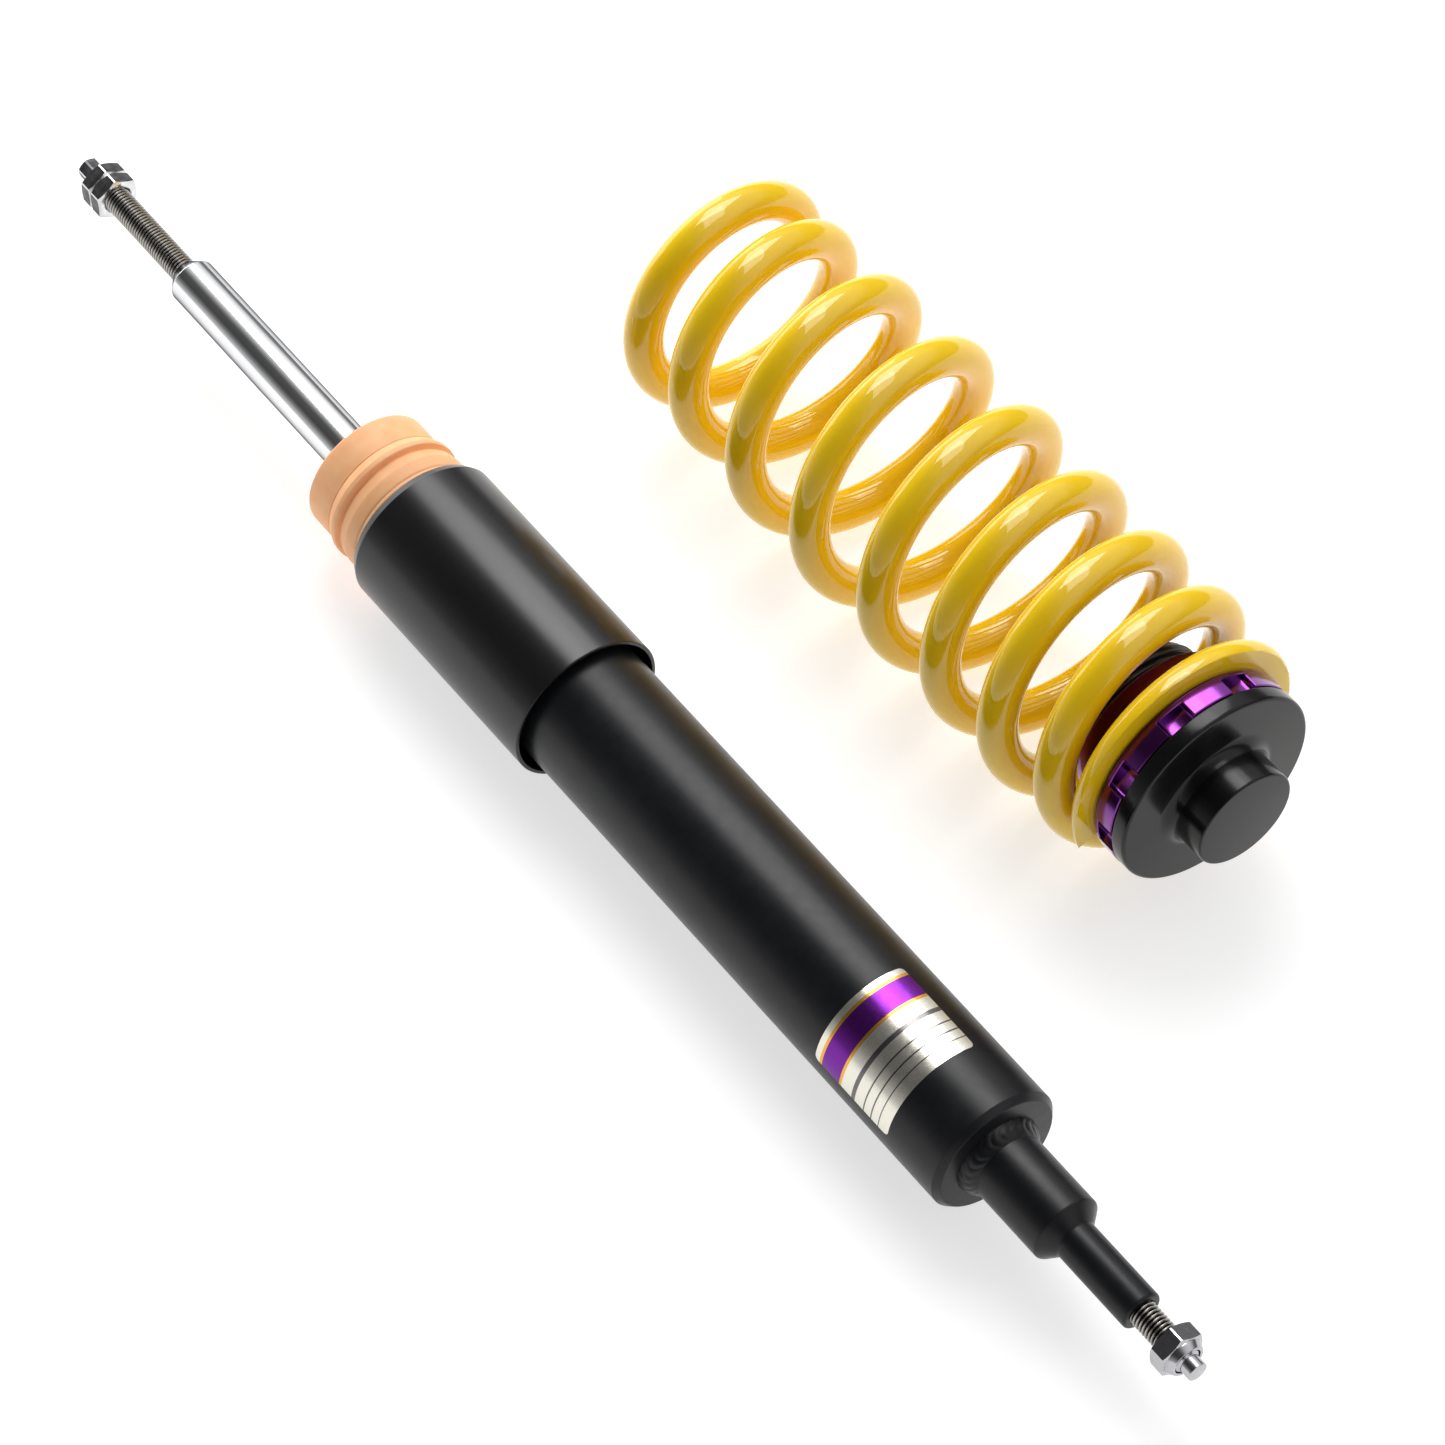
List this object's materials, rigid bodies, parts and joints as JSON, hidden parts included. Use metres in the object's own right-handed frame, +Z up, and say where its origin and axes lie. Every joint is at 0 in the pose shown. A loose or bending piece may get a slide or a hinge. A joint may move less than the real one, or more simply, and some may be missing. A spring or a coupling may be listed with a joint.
{
  "type": "coilover",
  "caption": "Rear coilover laid out as two assemblies: a gas damper with rod, bump stop and dust sleeve, and a coil spring on a threaded height adjuster.",
  "frame": {"origin": "under the middle of the object's box, on the floor both assemblies lie on", "axes": "+X along both axes toward the damper's lower stud and the adjuster's nose, +Y from the damper to the spring set, +Z up"},
  "size_m": [0.6356, 0.2174, 0.0993],
  "materials": {
    "black_paint": "satin black powder coat",
    "black_plastic": "satin black moulded plastic",
    "chrome_rod": "hard chrome, polished",
    "zinc_steel": "bright zinc plate",
    "orange_foam": "matt peach-orange cellular polyurethane",
    "yellow_coat": "glossy yellow powder coat",
    "purple_anodised": "bright purple anodising",
    "bare_aluminium": "machined",
    "black_rubber": "matt",
    "bronze": "plain",
    "foil": "silver foil sticker"
  },
  "bodies": {
    "damper_tube": {"pressure_tube": "black_paint", "rod_guide": "bare_aluminium", "guide_bushing": "bronze", "rod_seal": "black_rubber", "guide_clip": "zinc_steel", "label_plate": "foil", "lower_stem": "black_paint", "weld_bead": "black_paint", "lower_stud": "zinc_steel", "lower_nut": "zinc_steel"},
    "piston_band": {"piston_band": "black_rubber"},
    "piston_rod": {"piston_rod": "chrome_rod", "top_nut_upper": "zinc_steel", "top_nut_lower": "zinc_steel", "rebound_shims": "zinc_steel", "piston": "bare_aluminium", "compression_shims": "zinc_steel", "piston_nut": "zinc_steel"},
    "floating_piston": {"floating_piston": "bare_aluminium", "floating_seal": "black_rubber"},
    "bump_set": {"bump_stop": "orange_foam", "dust_sleeve": "black_plastic"},
    "spring_base": {"perch_base": "black_rubber", "threaded_body": "black_plastic"},
    "seat_ring": {"seat_ring": "purple_anodised"},
    "collar": {"adjuster_collar": "purple_anodised"},
    "spring": {"coil_spring": "yellow_coat"}
  },
  "joints": [
    {"name": "rod_stroke", "type": "slide", "parent": "damper_tube", "child": "piston_band", "axis": [1, 0, 0], "range_m": [0, 0.09], "stiffness_N_per_m": 400, "springref_m": -0.2},
    {"name": "rod_turn", "type": "hinge", "parent": "piston_band", "child": "piston_rod", "pos_m": [-0.2, -0.07956, 0.0291], "axis": [1, 0, 0], "continuous": true},
    {"name": "floating_piston_slide", "type": "slide", "parent": "damper_tube", "child": "floating_piston", "axis": [1, 0, 0], "range_m": [0, 0.014]},
    {"name": "bump_stop_slide", "type": "slide", "parent": "damper_tube", "child": "bump_set", "axis": [1, 0, 0], "range_m": [-0.04, 0]},
    {"name": "spring_set_lift", "type": "slide", "parent": "damper_tube", "child": "spring_base", "axis": [0, 0, 1], "range_m": [0, 0.15]},
    {"name": "perch_travel", "type": "slide", "parent": "spring_base", "child": "seat_ring", "axis": [-1, 0, 0], "range_m": [0, 0.012]},
    {"name": "collar_turn", "type": "hinge", "parent": "seat_ring", "child": "collar", "pos_m": [0.132, 0.05894, 0.04945], "axis": [-1, 0, 0], "range_deg": [0, 2150]},
    {"name": "spring_compression", "type": "slide", "parent": "seat_ring", "child": "spring", "axis": [1, 0, 0], "range_m": [0, 0.07], "stiffness_N_per_m": 90000, "deforming": ["coil_spring"]}
  ],
  "couplings": [
    {"joint": "floating_piston_slide", "follows": "rod_stroke", "ratio": 0.1533},
    {"joint": "perch_travel", "follows": "collar_turn", "m_per_rad": 0.00031831}
  ]
}
